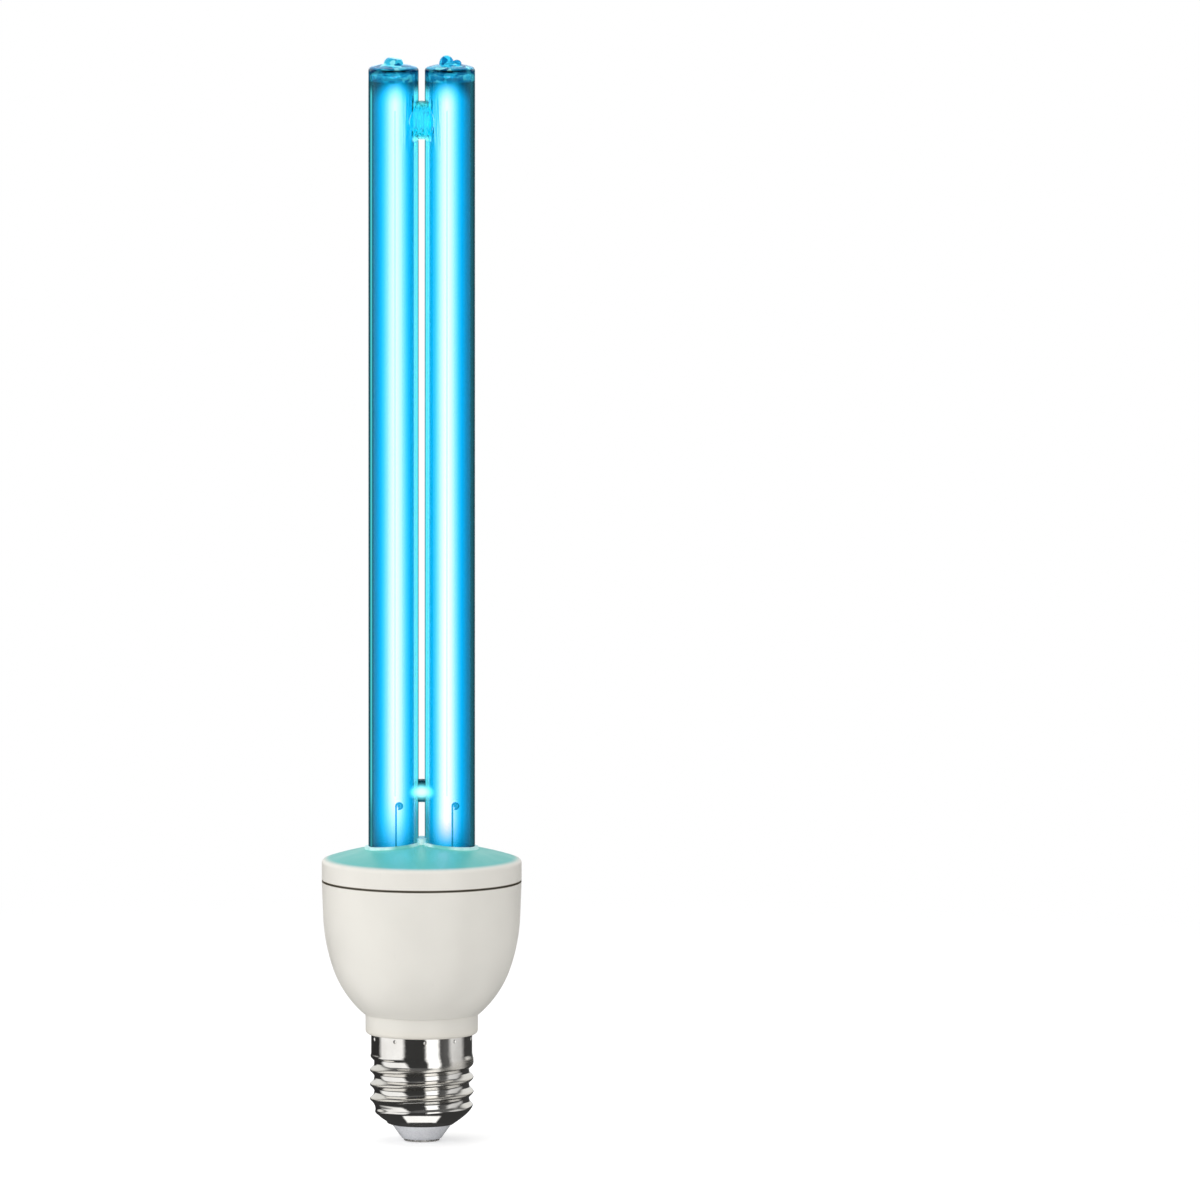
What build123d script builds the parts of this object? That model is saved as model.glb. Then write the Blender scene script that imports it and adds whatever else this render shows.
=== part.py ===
from build123d import *
import math
import os

os.makedirs("parts", exist_ok=True)

# Millimetres, +Z up, origin at the middle of the centre contact's bottom face.
# +X is the right-hand tube, -Y is the front.

# Clearances
bond_gap = 0.02
fit_gap = 0.1
plug_gap = 0.25
seat_gap = 0.3

# Screw base, size E26: 26.2 mm over the crests, 7 threads to the inch
thread_pitch = 3.63
thread_turns = 4
thread_crest_radius = 13.1
thread_groove_depth = 1.05
thread_floor_share = 0.1
thread_top_fade = (-150, -20)
thread_bottom_fade = (60, 200)
shell_sheet = 0.3
shell_lip_radius = 8.0
shell_neck_height = 5.6
shell_first_groove_height = 2.78
shell_skirt_radius = 12.8
shell_skirt_height = 5.6
shell_skirt_step_share = 0.25
shell_ring_step = 0.62
shell_ring_points = 16
stake_count = 10
stake_first_angle = -122
stake_radius = 0.7
stake_depth = 0.2
stake_drop = 0.9

# Centre contact and the insulator between it and the shell
contact_radius = 4.5
contact_thickness = 0.6
contact_edge_round = 0.25
eyelet_radius = 1.5
eyelet_wall = 0.3
eyelet_height = 6.0
insulator_nose_radius = 4.9
insulator_nose_height = 3.7
insulator_nose_round = 0.5
insulator_shoulder_radius = 7.6
insulator_plug_height = 2.2

# Ballast housing, a bowl on a collar, moulded with the sleeve inside the shell
housing_wall = 1.6
collar_radius = 14.2
collar_height = 5.2
collar_round = 1.0
collar_floor = 1.6
bowl_foot_radius = 14.7
bowl_height = 33.6
rim_radius = 25.2
rim_draft = 0.35
rim_straight_height = 9.0
shoulder_inset = 2.8
shoulder_drop = 22.1
sleeve_height = 14.0
sleeve_wall = 1.5
sleeve_neck_height = 3.6
rib_count = 4
rib_thickness = 1.2
rib_depth = 2.4
rib_height = 12.0
snap_depth = 0.3
snap_height = 1.2
snap_drop = 4.0

# Top cover
cover_wall = 1.8
cover_rim_height = 5.0
cover_rim_round = 1.0
dome_radius = 80.0
shadow_gap_height = 0.3
shadow_gap_depth = 1.0
cover_skirt_wall = 1.4
socket_wall = 1.2
socket_depth = 9.0
cement_width = 0.9
cement_depth = 6.0
cement_rise = 0.6
saddle_rise = 1.6
saddle_length = 7.0

# Quartz discharge tube, one fused piece
tube_radius = 6.35
tube_wall = 1.0
tube_spacing = 14.2
tube_length = 201.0
tube_foot_depth = 6.0
press_thickness = 3.2
press_width = 12.0
press_height = 5.5
press_blend_height = 4.5
press_edge_round = 1.44
bore_foot_round = 3.0
bore_top_round = 0.95
tube_shoulder_round = 1.1
tube_dome_angle = 17
tube_end_glass = 1.1
end_drop_height = 1.9
bridge_radius = 4.9
bridge_wall = 1.0
bridge_drop = 12.45
bead_radius = 2.95
bead_height = 17.6
left_tip_radius = 2.45
left_tip_round_height = 1.8
left_tip_height = 1.3
left_tip_lean = 8
right_tip_radius = 1.85
right_tip_height = 2.05
right_tip_shift = -0.85
right_lobe_radius = 1.15
right_lobe_height = 0.95
right_lobe_shift = 1.75

# Electrodes
lead_radius = 0.25
lead_spacing = 5.2
lead_offset = 0.6
hook_radius = 0.75
hook_sweep = 290
filament_height = 14.0
filament_radius = 0.45
filament_waist = 0.12
filament_pitch = 1.0
filament_overhang = 0.5

# Circuit board and its posts
board_room = 0.85
board_thickness = 1.6
board_drop = 12.0
post_size = 1.0
post_height = 3.2

# Ballast parts, hung under the board at shares of its radius
board_shares = {
    "choke": (-0.49, 0.0),
    "electrolytic": (0.2, 0.0),
    "toroid": (0.205, 0.615),
    "transistor": (0.558, 0.402),
    "resonant": (0.0, -0.625),
    "rectifier": (-0.567, 0.513),
    "inductor": (-0.245, 0.625),
    "resistor": (0.625, 0.0),
    "thermistor": (0.393, -0.692),
}
blocking_share = -0.558
part_room = 0.6
choke_length = 15.0
choke_width = 13.0
choke_height = 12.6
choke_core_leg = 3.0
choke_core_depth = 6.0
choke_flange = 0.8
choke_rail_width = 2.0
choke_core_gap = 0.8
choke_bobbin_wall = 0.6
choke_winding_depth = 2.0
electrolytic_radius = 6.25
electrolytic_height = 22.0
electrolytic_groove_drop = 2.2
electrolytic_groove_depth = 0.4
toroid_radius = 5.0
toroid_hole_radius = 2.6
toroid_height = 4.4
toroid_winding_angles = (30, 150, 270)
toroid_winding_width = 2.0
toroid_winding_depth = 0.5
transistor_width = 7.8
transistor_thickness = 3.2
transistor_height = 10.8
transistor_hole_radius = 1.6
transistor_hole_share = 0.7
resonant_size = (12.0, 5.0, 10.0)
blocking_size = (7.0, 4.0, 7.0)
rectifier_size = (6.5, 5.0, 3.0)
part_round = 0.6
inductor_radius = 3.0
inductor_height = 8.0
inductor_waist = 0.6
inductor_flange = 1.0
resistor_radius = 1.9
resistor_waist = 0.3
resistor_length = 8.0
resistor_end = 1.6
thermistor_radius = 3.0
thermistor_thickness = 3.0

# Wires from the board to the base
wire_radius = 0.5
contact_wire_place = (-2.5, -5.5)
shell_wire_place = (-2.0, 6.0)
wire_bend = 3.0
shell_wire_foot_drop = 1.5

# Levels along the axis
lip_z = contact_thickness + insulator_nose_height
lowest_groove_z = lip_z + shell_first_groove_height
highest_groove_z = lowest_groove_z + thread_turns * thread_pitch
shell_rim_z = highest_groove_z + shell_skirt_height
collar_top_z = shell_rim_z + collar_height
housing_rim_z = collar_top_z + bowl_height
cover_edge_z = housing_rim_z + shadow_gap_height + cover_rim_height
board_top_z = housing_rim_z - board_drop + board_thickness
board_bottom_z = board_top_z - board_thickness

# Radii and places that follow from the sizes
leg_x = tube_spacing / 2
socket_radius = tube_radius + bond_gap + cement_width
sleeve_radius = thread_crest_radius - thread_groove_depth - shell_sheet - fit_gap
sleeve_neck_radius = shell_skirt_radius - shell_sheet - fit_gap
skirt_radius = rim_radius - rim_draft - housing_wall - fit_gap
skirt_bottom_z = board_top_z + seat_gap
board_radius = rim_radius - rim_draft - housing_wall - board_room
places = {name: (x * board_radius, y * board_radius) for name, (x, y) in board_shares.items()}
blocking_x = places["resonant"][0] - (resonant_size[0] + blocking_size[0]) / 2 - part_room
places["blocking"] = (blocking_x, blocking_share * board_radius)


def dome_z(radius, rise=0.0):
    """Height of the cover's dome at a distance from the axis."""
    edge_drop = dome_radius - math.sqrt(dome_radius**2 - rim_radius**2)
    centre_z = cover_edge_z + edge_drop - dome_radius
    return centre_z + math.sqrt((dome_radius + rise) ** 2 - radius**2)


tube_foot_z = housing_rim_z - tube_foot_depth + seat_gap
tube_shoulder_z = tube_foot_z + press_height + press_blend_height + tube_length
press_top_z = tube_foot_z + press_height
tube_round_z = press_top_z + press_blend_height
bore_bottom_z = tube_round_z + tube_wall
filament_z = bore_bottom_z + filament_height
bead_z = bore_bottom_z + bead_height
bridge_z = tube_shoulder_z - bridge_drop


def upright(radius, bottom, top, place=(0, 0)):
    """Round bar from one level to another."""
    base = Plane((place[0], place[1], bottom))
    return base * Cylinder(radius, top - bottom, align=(Align.CENTER, Align.CENTER, Align.MIN))


def hung_block(size, place):
    """Block whose top lies under the board."""
    base = Plane((place[0], place[1], board_bottom_z))
    return base * Box(*size, align=(Align.CENTER, Align.CENTER, Align.MAX))


def crossbar(radius, length, height):
    """Round bar along X, centred on the axis."""
    return Plane((0, 0, height), z_dir=(1, 0, 0)) * Cylinder(radius, length)


def fade(value, start, end):
    """Smooth step from 0 at start to 1 at end."""
    share = min(1.0, max(0.0, (value - start) / (end - start)))
    return share * share * (3 - 2 * share)


# Screw shell: rolled from one thin sheet, its thread dies out at both ends


def shell_outline(height):
    """Radius of the shell before the thread is rolled into it."""
    neck = min(1.0, (height - lip_z) / shell_neck_height)
    body = shell_lip_radius + (thread_crest_radius - shell_lip_radius) * math.sin(math.pi / 2 * neck)
    half_step = shell_skirt_step_share * thread_pitch
    step = fade(height, highest_groove_z - half_step, highest_groove_z + half_step)
    return body + (shell_skirt_radius - thread_crest_radius) * step


def groove_share(turn_share):
    """Depth of the rolled groove across one pitch, from 1 at its floor to 0 at the crest."""
    away = abs(turn_share)
    if away >= 0.5:
        return 0.0
    if away <= thread_floor_share:
        return 1.0
    slope = (away - thread_floor_share) / (0.5 - thread_floor_share)
    return math.cos(math.pi / 2 * slope) ** 2


def shell_radius(angle, height):
    """Outer radius of the threaded shell at an angle in degrees and a height."""
    depth = 0.0
    for turn in range(-thread_turns - 1, 1):
        turned = angle + 360 * turn
        groove_z = highest_groove_z + thread_pitch * turned / 360
        top = 1 - fade(turned, *thread_top_fade)
        bottom = fade(turned + 360 * thread_turns, *thread_bottom_fade)
        depth += top * bottom * groove_share((height - groove_z) / thread_pitch)
    return shell_outline(height) - thread_groove_depth * depth


def shell_ring(height, inset):
    points = []
    for step in range(shell_ring_points):
        angle = 360 * step / shell_ring_points
        radius = shell_radius(angle, height) - inset
        along = math.radians(angle)
        points.append((radius * math.cos(along), radius * math.sin(along), height))
    return Wire([Spline(*points, periodic=True).edge()])


def shell_form(inset):
    rings = round((shell_rim_z - lip_z) / shell_ring_step)
    rise = (shell_rim_z - lip_z) / rings
    return Solid.make_loft([shell_ring(lip_z + rise * i, inset) for i in range(rings + 1)])


def make_screw_shell():
    shell = shell_form(0) - shell_form(shell_sheet)
    stakes = Part()
    reach = shell_skirt_radius + stake_radius - stake_depth
    for i in range(stake_count):
        angle = math.radians(stake_first_angle + 360 * i / stake_count)
        place = (reach * math.cos(angle), reach * math.sin(angle), shell_rim_z - stake_drop)
        stakes += Pos(*place) * Sphere(stake_radius)
    return shell - stakes


# Centre contact and insulator


def make_centre_contact():
    disc = upright(contact_radius, 0, contact_thickness)
    disc = fillet(disc.edges().group_by(Axis.Z)[0], contact_edge_round)
    eyelet = upright(eyelet_radius, 0, eyelet_height)
    hole = upright(eyelet_radius - eyelet_wall, contact_thickness, eyelet_height)
    return disc + eyelet - hole


def make_base_insulator():
    plug_top_z = lip_z + insulator_plug_height
    plug_radius = shell_outline(plug_top_z) - thread_groove_depth - shell_sheet - plug_gap
    nose = Polyline(
        (0, contact_thickness),
        (insulator_nose_radius, contact_thickness),
        (insulator_shoulder_radius, lip_z),
        (insulator_shoulder_radius, lip_z + shell_sheet),
        (plug_radius, plug_top_z),
        (0, plug_top_z),
        (0, contact_thickness),
    )
    plug = revolve(make_face(Plane.XZ * nose), axis=Axis.Z)
    plug = fillet(plug.edges().group_by(Axis.Z)[0], insulator_nose_round)
    return plug - upright(eyelet_radius + bond_gap, 0, plug_top_z)


# Ballast housing


def bowl_lines(inset):
    """Bowl outline from rim to foot, moved inwards by a wall, as tangent arcs."""
    rim = Vector(rim_radius, housing_rim_z)
    straight = Vector(rim_radius - rim_draft, housing_rim_z - rim_straight_height)
    shoulder = Vector(rim_radius - shoulder_inset, housing_rim_z - shoulder_drop)
    foot = Vector(bowl_foot_radius, collar_top_z)
    down = straight - rim
    upper = TangentArc(straight, shoulder, tangent=down)
    lower = TangentArc(shoulder, foot, tangent=upper % 1)
    if inset == 0:
        return Line(rim, straight), upper, lower
    moved = []
    for point, along in ((straight, upper % 0), (shoulder, upper % 1), (foot, lower % 1)):
        moved.append(point + Vector(along.Y, -along.X).normalized() * inset)
    upper_inner = TangentArc(moved[0], moved[1], tangent=down)
    lower_inner = TangentArc(moved[1], moved[2], tangent=upper_inner % 1)
    top = Vector(rim.X - inset, rim.Y)
    return Line(top, moved[0]), upper_inner, lower_inner


def make_housing():
    neck_z = shell_rim_z - sleeve_neck_height
    sleeve_z = shell_rim_z - sleeve_height
    outer = bowl_lines(0)
    foot = outer[-1] @ 1
    body = Polyline(
        foot,
        (collar_radius, collar_top_z),
        (collar_radius, shell_rim_z),
        (sleeve_neck_radius, shell_rim_z),
        (sleeve_neck_radius, neck_z),
        (sleeve_radius, neck_z),
        (sleeve_radius, sleeve_z),
        (0, sleeve_z),
        (0, housing_rim_z),
        outer[0] @ 0,
    )
    solid = revolve(make_face(Plane.XZ * (Curve() + outer + body)), axis=Axis.Z)
    collar_edge = solid.edges().filter_by(GeomType.CIRCLE).filter_by(
        lambda e: abs(e.center().Z - shell_rim_z) < bond_gap and abs(e.radius - collar_radius) < bond_gap
    )
    solid = fillet(collar_edge, collar_round)
    inner = bowl_lines(housing_wall)
    bore_radius = sleeve_radius - sleeve_wall
    hollow = Polyline(
        inner[-1] @ 1,
        (collar_radius - housing_wall, shell_rim_z + collar_floor),
        (bore_radius, shell_rim_z + collar_floor),
        (bore_radius, sleeve_z),
        (0, sleeve_z),
        (0, housing_rim_z),
        inner[0] @ 0,
    )
    room = revolve(make_face(Plane.XZ * (Curve() + inner + hollow)), axis=Axis.Z)
    snap_z = housing_rim_z - snap_drop
    room += upright(skirt_radius + snap_depth + fit_gap, snap_z - snap_height, snap_z + snap_height)
    ribs = Part()
    for i in range(rib_count):
        rib = Pos(board_radius, 0, board_bottom_z) * Box(
            2 * rib_depth, rib_thickness, rib_height, align=(Align.CENTER, Align.CENTER, Align.MAX)
        )
        ribs += Rot(0, 0, 360 * i / rib_count) * rib
    return solid - room + (ribs & solid)


# Top cover with its two tube sockets


def make_top_cover():
    rim_bottom_z = housing_rim_z + shadow_gap_height
    step_radius = rim_radius - shadow_gap_depth
    skirt_inner = skirt_radius - cover_skirt_wall
    snap_z = housing_rim_z - snap_drop
    snap_radius = skirt_radius + snap_depth
    dome = ThreePointArc(
        (0, dome_z(0)),
        (rim_radius / 2, dome_z(rim_radius / 2)),
        (rim_radius, cover_edge_z),
    )
    under = ThreePointArc(
        (skirt_inner, dome_z(skirt_inner, -cover_wall)),
        (skirt_inner / 2, dome_z(skirt_inner / 2, -cover_wall)),
        (0, dome_z(0, -cover_wall)),
    )
    side = Polyline(
        (rim_radius, cover_edge_z),
        (rim_radius, rim_bottom_z),
        (step_radius, rim_bottom_z),
        (step_radius, housing_rim_z),
        (skirt_radius, housing_rim_z),
        (skirt_radius, snap_z + snap_height),
        (snap_radius, snap_z),
        (skirt_radius, snap_z - snap_height),
        (skirt_radius, skirt_bottom_z),
        (skirt_inner, skirt_bottom_z),
        under @ 0,
    )
    middle = Line((0, dome_z(0, -cover_wall)), (0, dome_z(0)))
    cover = revolve(make_face(Plane.XZ * (Curve() + [dome, side, under, middle])), axis=Axis.Z)
    rim_edge = cover.edges().filter_by(GeomType.CIRCLE).filter_by(
        lambda e: abs(e.center().Z - cover_edge_z) < bond_gap and abs(e.radius - rim_radius) < bond_gap
    )
    cover = fillet(rim_edge, cover_rim_round)
    for x in (-leg_x, leg_x):
        sleeve_top = dome_z(leg_x + socket_radius + socket_wall, -cover_wall / 2)
        sleeve_bottom = dome_z(0) - socket_depth
        cover += upright(socket_radius + socket_wall, sleeve_bottom, sleeve_top, (x, 0))
    for x in (-leg_x, leg_x):
        cover -= upright(socket_radius, skirt_bottom_z, dome_z(0) + cover_wall, (x, 0))
    return cover


def make_cement():
    """Ring round each tube in its socket, drawn up between the two tubes."""
    bottom = dome_z(0) - cement_depth
    top = dome_z(0) + saddle_rise
    sphere = Pos(0, 0, dome_z(0) - dome_radius) * Sphere(dome_radius + cement_rise)
    rings = Part()
    bores = Part()
    for x in (-leg_x, leg_x):
        rings += upright(socket_radius - bond_gap, bottom, top, (x, 0))
        bores += upright(tube_radius + bond_gap, bottom, top, (x, 0))
    gap_width = tube_spacing - 2 * tube_radius
    saddle = Plane((0, 0, dome_z(0) + bond_gap)) * Ellipse(gap_width, saddle_length / 2)
    return (rings & sphere) + extrude(saddle, saddle_rise - bond_gap) - bores


# Quartz tube


def left_tip():
    """Flat blob left by sealing the tube off, its top leaning to the right."""
    blob = scale(Sphere(left_tip_radius), by=(1, 1, left_tip_round_height / left_tip_radius))
    room = Box(*[4 * left_tip_radius] * 3, align=(Align.CENTER, Align.CENTER, Align.MAX))
    return blob & Pos(0, 0, left_tip_height) * Rot(0, left_tip_lean, 0) * room


def right_tip():
    """Taller blob beside the leg's axis, with a small lobe on its other side."""
    blob = scale(Sphere(right_tip_radius), by=(1, 1, right_tip_height / right_tip_radius))
    lobe = scale(Sphere(right_lobe_radius), by=(1, 1, right_lobe_height / right_lobe_radius))
    return Pos(right_tip_shift, 0, 0) * blob + Pos(right_lobe_shift, 0, 0) * lobe


def leg_outside(x, tip):
    """One leg: pressed foot, round tube, domed end and the blob on it."""
    turn = math.radians(90 - tube_dome_angle)
    centre_r = tube_radius - tube_shoulder_round
    edge = Vector(
        centre_r + tube_shoulder_round * math.cos(turn),
        tube_shoulder_z + tube_shoulder_round * math.sin(turn),
    )
    apex = Vector(0, edge.Y + edge.X * math.tan(math.radians(tube_dome_angle / 2)))
    start = Vector(tube_radius, tube_shoulder_z)
    shoulder = TangentArc(start, edge, tangent=(0, 1))
    dome = TangentArc(edge, apex, tangent=shoulder % 1)
    side = Polyline(apex, (0, tube_round_z), (tube_radius, tube_round_z), start)
    leg = Pos(x, 0, 0) * revolve(make_face(Plane.XZ * (Curve() + [shoulder, dome, side])), axis=Axis.Z)
    press = Plane((x, 0, press_top_z)) * RectangleRounded(press_thickness, press_width, press_edge_round)
    leg += extrude(press, -press_height)
    circle = Plane((x, 0, tube_round_z)) * Circle(tube_radius)
    leg += loft([press, circle])
    return leg + Pos(x, 0, apex.Y) * tip


def leg_bore(x):
    """Room in a leg, with a drop of glass hanging into its top."""
    radius = tube_radius - tube_wall
    top = tube_shoulder_z + tube_shoulder_round - tube_end_glass
    bore = upright(radius, bore_bottom_z, top, (x, 0))
    bore = fillet(bore.edges().filter_by(GeomType.CIRCLE).group_by(Axis.Z)[0], bore_foot_round)
    bore = fillet(bore.edges().filter_by(GeomType.CIRCLE).group_by(Axis.Z)[-1], bore_top_round)
    drop_edge = radius - bore_top_round
    drop_radius = (drop_edge**2 + end_drop_height**2) / (2 * end_drop_height)
    return bore - Pos(x, 0, top + drop_radius - end_drop_height) * Sphere(drop_radius)


def make_quartz_tube():
    tube = leg_outside(-leg_x, left_tip()) + leg_outside(leg_x, right_tip())
    tube += crossbar(bridge_radius, tube_spacing, bridge_z)
    tube += crossbar(bead_radius, tube_spacing, bead_z)
    for x in (-leg_x, leg_x):
        tube -= leg_bore(x)
    tube -= crossbar(bridge_radius - bridge_wall, tube_spacing, bridge_z)
    for x, y in lead_places():
        tube -= upright(lead_radius + bond_gap, tube_foot_z, bore_bottom_z + bore_foot_round, (x, y))
    return tube


# Electrodes


def lead_places():
    """Foot of each lead wire: left and right leg, front and back."""
    spread = lead_spacing / 2
    return [(side * leg_x + lead_offset, depth * spread) for side in (-1, 1) for depth in (-1, 1)]


def make_lead(x, y):
    """Straight wire through the press, its end flattened and curled round the filament."""
    bottom = board_top_z + seat_gap
    wire = upright(lead_radius, bottom, filament_z, (x, y))
    inner = CenterArc((0, 0), hook_radius - lead_radius, 180 - hook_sweep, hook_sweep)
    outer = CenterArc((0, 0), hook_radius + lead_radius, 180 - hook_sweep, hook_sweep)
    ends = [Line(inner @ 0, outer @ 0), Line(inner @ 1, outer @ 1)]
    curl = extrude(make_face(Curve() + [inner, outer] + ends), lead_radius, both=True)
    return wire + Pos(x + hook_radius, y, filament_z) * Rot(90, 0, 0) * curl


def make_filament(side):
    """Coated coil along Y, its ends held in the two curled leads."""
    length = lead_spacing + 2 * filament_overhang
    turns = round(length / filament_pitch)
    pitch = length / turns
    outline = [Line((0, length / 2), (0, -length / 2))]
    outline.append(Line((0, -length / 2), (filament_radius - filament_waist, -length / 2)))
    for turn in range(turns):
        low = -length / 2 + pitch * turn
        outline.append(
            ThreePointArc(
                (filament_radius - filament_waist, low),
                (filament_radius, low + pitch / 2),
                (filament_radius - filament_waist, low + pitch),
            )
        )
    outline.append(Line((filament_radius - filament_waist, length / 2), (0, length / 2)))
    coil = revolve(make_face(Plane.XZ * (Curve() + outline)), axis=Axis.Z)
    x = side * leg_x + lead_offset + hook_radius
    return Pos(x, 0, filament_z) * Rot(90, 0, 0) * coil


# Circuit board and posts


def post_places():
    """Each post stands outside its lead wire and touches it."""
    reach = lead_radius + post_size / 2 + bond_gap
    return [(x, y + math.copysign(reach, y)) for x, y in lead_places()]


def make_posts():
    posts = Part()
    for x, y in post_places():
        height = board_thickness + post_height
        posts += Pos(x, y, board_bottom_z) * Box(
            post_size, post_size, height, align=(Align.CENTER, Align.CENTER, Align.MIN)
        )
    return posts


def make_board():
    board = upright(board_radius, board_bottom_z, board_top_z)
    hole = post_size / math.sqrt(2) + bond_gap
    for place in post_places():
        board -= upright(hole, board_bottom_z, board_top_z, place)
    return board


# Ballast parts under the board


def choke_window():
    """Top level and height of the core's two windows."""
    top = board_bottom_z - choke_core_gap - choke_core_leg
    return top, choke_height - choke_core_gap - 2 * choke_core_leg


def make_choke_core():
    """Two E cores set face to face: three legs between two yokes."""
    top, window_height = choke_window()
    height = choke_height - choke_core_gap
    block = Box(choke_core_depth, choke_length, height)
    window_length = (choke_length - 3 * choke_core_leg) / 2
    shift = (choke_core_leg + window_length) / 2
    for side in (-1, 1):
        block -= Pos(0, side * shift, 0) * Box(choke_core_depth, window_length, window_height)
    return Pos(*places["choke"], top - window_height / 2) * block


def make_choke_bobbin():
    """Tube round the middle leg with two flanges, and two rails up to the board."""
    top, window_height = choke_window()
    height = window_height - 2 * fit_gap
    hole_x = choke_core_depth + 2 * fit_gap
    hole_y = choke_core_leg + 2 * fit_gap
    flange_y = choke_length - 2 * choke_core_leg - 2 * fit_gap
    tube = Box(hole_x + 2 * choke_bobbin_wall, hole_y + 2 * choke_bobbin_wall, height)
    rail_bottom = height / 2 - choke_flange
    rail_height = choke_flange + fit_gap + choke_core_leg + choke_core_gap
    for end in (-1, 1):
        tube += Pos(0, 0, end * (height - choke_flange) / 2) * Box(choke_width, flange_y, choke_flange)
        rail = Box(choke_rail_width, flange_y, rail_height)
        tube += Pos(end * (choke_width - choke_rail_width) / 2, 0, rail_bottom + rail_height / 2) * rail
    tube -= Box(hole_x, hole_y, height)
    return Pos(*places["choke"], top - window_height / 2) * tube


def make_choke_winding():
    top, window_height = choke_window()
    hole_x = choke_core_depth + 2 * (fit_gap + choke_bobbin_wall + bond_gap)
    hole_y = choke_core_leg + 2 * (fit_gap + choke_bobbin_wall + bond_gap)
    height = window_height - 2 * (fit_gap + choke_flange + bond_gap)
    coil = Box(hole_x + 2 * choke_winding_depth, hole_y + 2 * choke_winding_depth, height)
    coil = fillet(coil.edges().filter_by(Axis.Z), choke_winding_depth)
    return Pos(*places["choke"], top - window_height / 2) * (coil - Box(hole_x, hole_y, height))


def make_electrolytic():
    """Can with its crimped groove just under the board."""
    bottom = board_bottom_z - electrolytic_height
    groove_z = board_bottom_z - electrolytic_groove_drop
    outline = Polyline(
        (0, bottom),
        (electrolytic_radius - part_round, bottom),
        (electrolytic_radius, bottom + part_round),
        (electrolytic_radius, groove_z - electrolytic_groove_depth),
        (electrolytic_radius - electrolytic_groove_depth, groove_z),
        (electrolytic_radius, groove_z + electrolytic_groove_depth),
        (electrolytic_radius, board_bottom_z),
        (0, board_bottom_z),
        close=True,
    )
    return Pos(*places["electrolytic"], 0) * revolve(make_face(Plane.XZ * outline), axis=Axis.Z)


def make_toroid():
    top = board_bottom_z - toroid_winding_depth - bond_gap
    ring = upright(toroid_radius, top - toroid_height, top, places["toroid"])
    return ring - upright(toroid_hole_radius, top - toroid_height, top, places["toroid"])


def make_toroid_windings():
    """Three small windings, each wrapped round the ring's section."""
    half_width = toroid_winding_width / 2
    low = math.sqrt(toroid_hole_radius**2 - half_width**2) - bond_gap
    high = toroid_radius + bond_gap
    room_height = toroid_height + 2 * bond_gap
    level = board_bottom_z - toroid_winding_depth - bond_gap - toroid_height / 2
    grow = 2 * toroid_winding_depth
    windings = Part()
    for angle in toroid_winding_angles:
        block = Box(high - low + grow, toroid_winding_width, room_height + grow)
        block = fillet(block.edges().filter_by(Axis.Y), toroid_winding_depth)
        block -= Box(high - low, toroid_winding_width, room_height)
        turned = Rot(0, 0, angle) * Pos((high + low) / 2, 0, 0) * block
        windings += Pos(*places["toroid"], level) * turned
    return windings


def make_transistor(side):
    x, y = places["transistor"]
    size = (transistor_thickness, transistor_width, transistor_height)
    body = hung_block(size, (x, side * y))
    body = chamfer(body.edges().filter_by(Axis.Y).group_by(Axis.Z)[0], part_round)
    hole_z = board_bottom_z - transistor_hole_share * transistor_height
    hole = Plane((x, side * y, hole_z), z_dir=(1, 0, 0))
    return body - hole * Cylinder(transistor_hole_radius, transistor_thickness)


def make_block(size, place):
    body = hung_block(size, place)
    edges = body.edges().filter_by(Axis.Z) + body.edges().group_by(Axis.Z)[0]
    return fillet(edges, part_round)


def make_inductor():
    """Drum core with its winding in the waist."""
    place = places["inductor"]
    top = board_bottom_z
    bottom = top - inductor_height
    drum = upright(inductor_radius, bottom, top, place)
    ring = upright(inductor_radius, bottom + inductor_flange, top - inductor_flange, place)
    return drum - (ring - upright(inductor_radius - inductor_waist, bottom, top, place))


def make_resistor():
    """Body with a thicker cap at each end, lying along Y."""
    place = Plane((*places["resistor"], board_bottom_z - resistor_radius), z_dir=(0, 1, 0))
    body = Cylinder(resistor_radius - resistor_waist, resistor_length)
    for end in (-1, 1):
        cap = Cylinder(resistor_radius, resistor_end)
        body += Pos(0, 0, end * (resistor_length - resistor_end) / 2) * cap
    ends = body.edges().group_by(Axis.Z)
    return place * chamfer(ends[0] + ends[-1], part_round)


def make_thermistor():
    place = Plane((*places["thermistor"], board_bottom_z - thermistor_radius), z_dir=(1, 0, 0))
    disc = Cylinder(thermistor_radius, thermistor_thickness)
    return place * chamfer(disc.edges().filter_by(GeomType.CIRCLE), part_round)


# Wires to the base


def make_wire(points):
    path = FilletPolyline(*points, radius=wire_bend)
    section = Plane(path @ 0, z_dir=path % 0) * Circle(wire_radius)
    return sweep(section, path=path)


def make_contact_wire():
    """From the board down the sleeve into the contact's eyelet."""
    x, y = contact_wire_place
    turn_z = shell_rim_z - sleeve_height + wire_bend
    return make_wire(
        [
            (x, y, board_bottom_z),
            (x, y, turn_z + 2 * wire_bend),
            (0, 0, turn_z - wire_bend / 2),
            (0, 0, contact_thickness + bond_gap),
        ]
    )


def make_shell_wire():
    """From the board down the sleeve, then out under its edge to the shell."""
    x, y = shell_wire_place
    foot_z = shell_rim_z - sleeve_height - shell_wire_foot_drop
    angle = math.degrees(math.atan2(y, x)) % 360
    levels = (foot_z - wire_radius, foot_z, foot_z + wire_radius)
    reach = min(shell_radius(angle, level) for level in levels) - shell_sheet - seat_gap
    along = Vector(x, y).normalized() * reach
    return make_wire([(x, y, board_bottom_z), (x, y, foot_z), (along.X, along.Y, foot_z)])


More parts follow.
